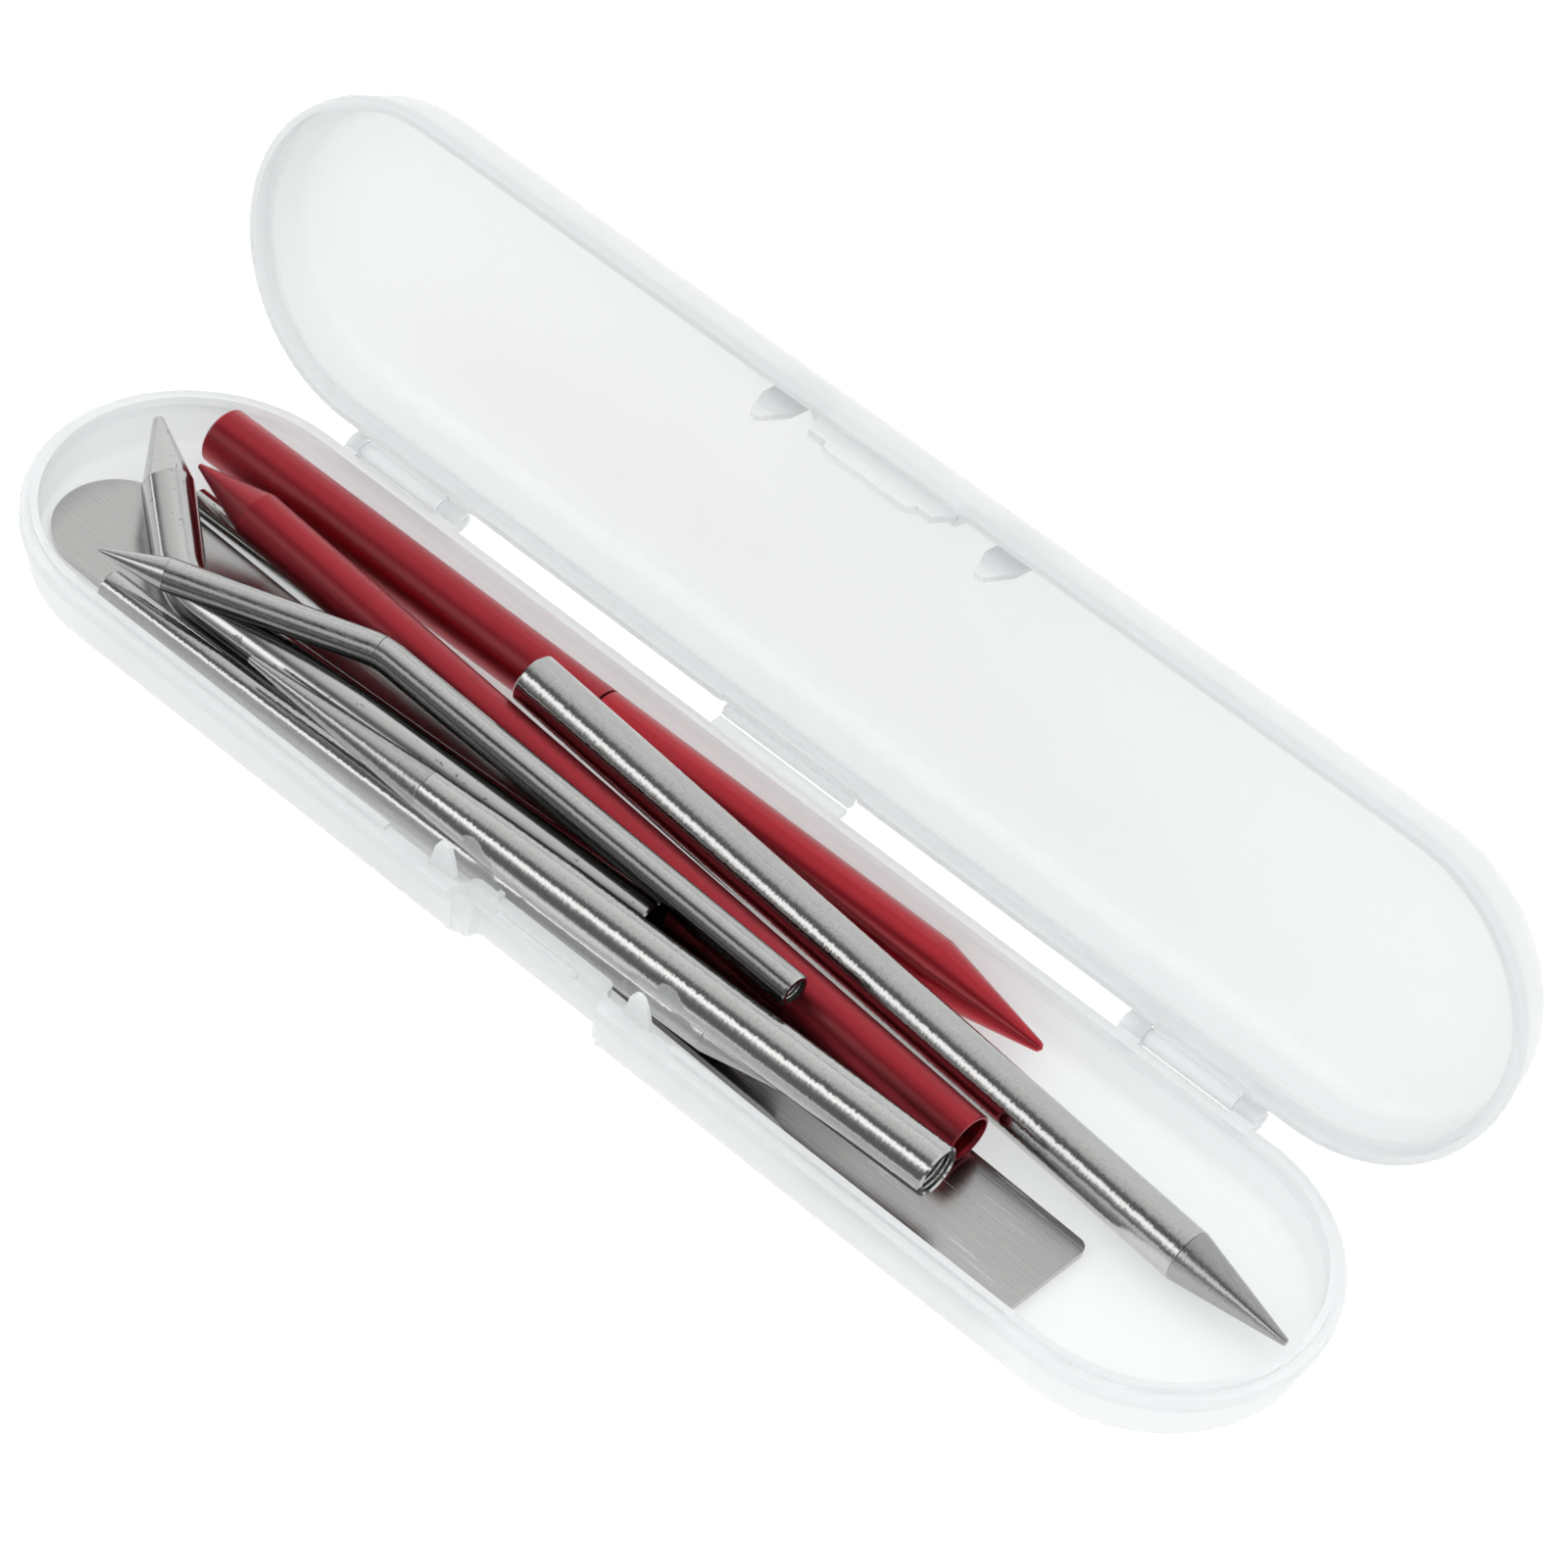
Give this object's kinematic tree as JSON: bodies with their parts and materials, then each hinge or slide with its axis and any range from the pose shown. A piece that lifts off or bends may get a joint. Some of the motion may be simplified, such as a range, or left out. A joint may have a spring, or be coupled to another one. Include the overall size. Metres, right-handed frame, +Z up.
{
  "type": "lacing fid set",
  "caption": "Hinged translucent stadium-shaped case holding straight and bent cord-lacing fids, a slim needle and a flat smoothing blade.",
  "frame": {"origin": "middle of the case's underside", "axes": "+X along the case, +Y towards the hinge, +Z up"},
  "size_m": [0.206, 0.066, 0.0558],
  "materials": {
    "frosted_plastic": "frosted translucent polypropylene",
    "brushed_blade": "brushed lengthwise, lightly scratched",
    "red_anodised": "satin crimson anodising",
    "turned_steel": "fine turned steel",
    "polished_steel": "polished steel"
  },
  "bodies": {
    "base": {"case_base": "frosted_plastic"},
    "lid": {"case_lid": "frosted_plastic"},
    "blade": {"smoothing_blade": "brushed_blade"},
    "needle": {"slim_needle": "polished_steel"},
    "split_fid": {"split_fid_rear": "red_anodised", "split_fid_front": "red_anodised"},
    "slim_fid": {"slim_fid_body": "turned_steel", "slim_fid_point": "turned_steel"},
    "thick_bent_fid": {"thick_bent_fid_body": "polished_steel", "thick_bent_fid_point": "polished_steel"},
    "tube_fid": {"tube_fid": "red_anodised"},
    "taper_fid": {"taper_fid_body": "turned_steel", "taper_fid_point": "turned_steel"},
    "slim_bent_fid": {"slim_bent_fid_body": "turned_steel", "slim_bent_fid_point": "turned_steel"},
    "long_fid": {"long_fid_body": "turned_steel", "long_fid_point": "turned_steel"}
  },
  "joints": [
    {"name": "lid_hinge", "type": "hinge", "parent": "base", "child": "lid", "pos_m": [0, 0.0248, 0.0087], "axis": [1, 0, 0], "range_deg": [0, 100.4]},
    {"name": "blade_lift", "type": "slide", "parent": "base", "child": "blade", "axis": [0, 0, 1], "range_m": [0, 0.06]},
    {"name": "needle_lift", "type": "slide", "parent": "blade", "child": "needle", "axis": [0, 0, 1], "range_m": [0, 0.06]},
    {"name": "split_fid_lift", "type": "slide", "parent": "needle", "child": "split_fid", "axis": [0, 0, 1], "range_m": [0, 0.06]},
    {"name": "slim_fid_lift", "type": "slide", "parent": "split_fid", "child": "slim_fid", "axis": [0, 0, 1], "range_m": [0, 0.06]},
    {"name": "thick_bent_fid_lift", "type": "slide", "parent": "slim_fid", "child": "thick_bent_fid", "axis": [0, 0, 1], "range_m": [0, 0.06]},
    {"name": "tube_fid_lift", "type": "slide", "parent": "thick_bent_fid", "child": "tube_fid", "axis": [0, 0, 1], "range_m": [0, 0.06]},
    {"name": "taper_fid_lift", "type": "slide", "parent": "tube_fid", "child": "taper_fid", "axis": [0, 0, 1], "range_m": [0, 0.06]},
    {"name": "slim_bent_fid_lift", "type": "slide", "parent": "taper_fid", "child": "slim_bent_fid", "axis": [0, 0, 1], "range_m": [0, 0.06]},
    {"name": "long_fid_lift", "type": "slide", "parent": "slim_bent_fid", "child": "long_fid", "axis": [0, 0, 1], "range_m": [0, 0.06]}
  ]
}
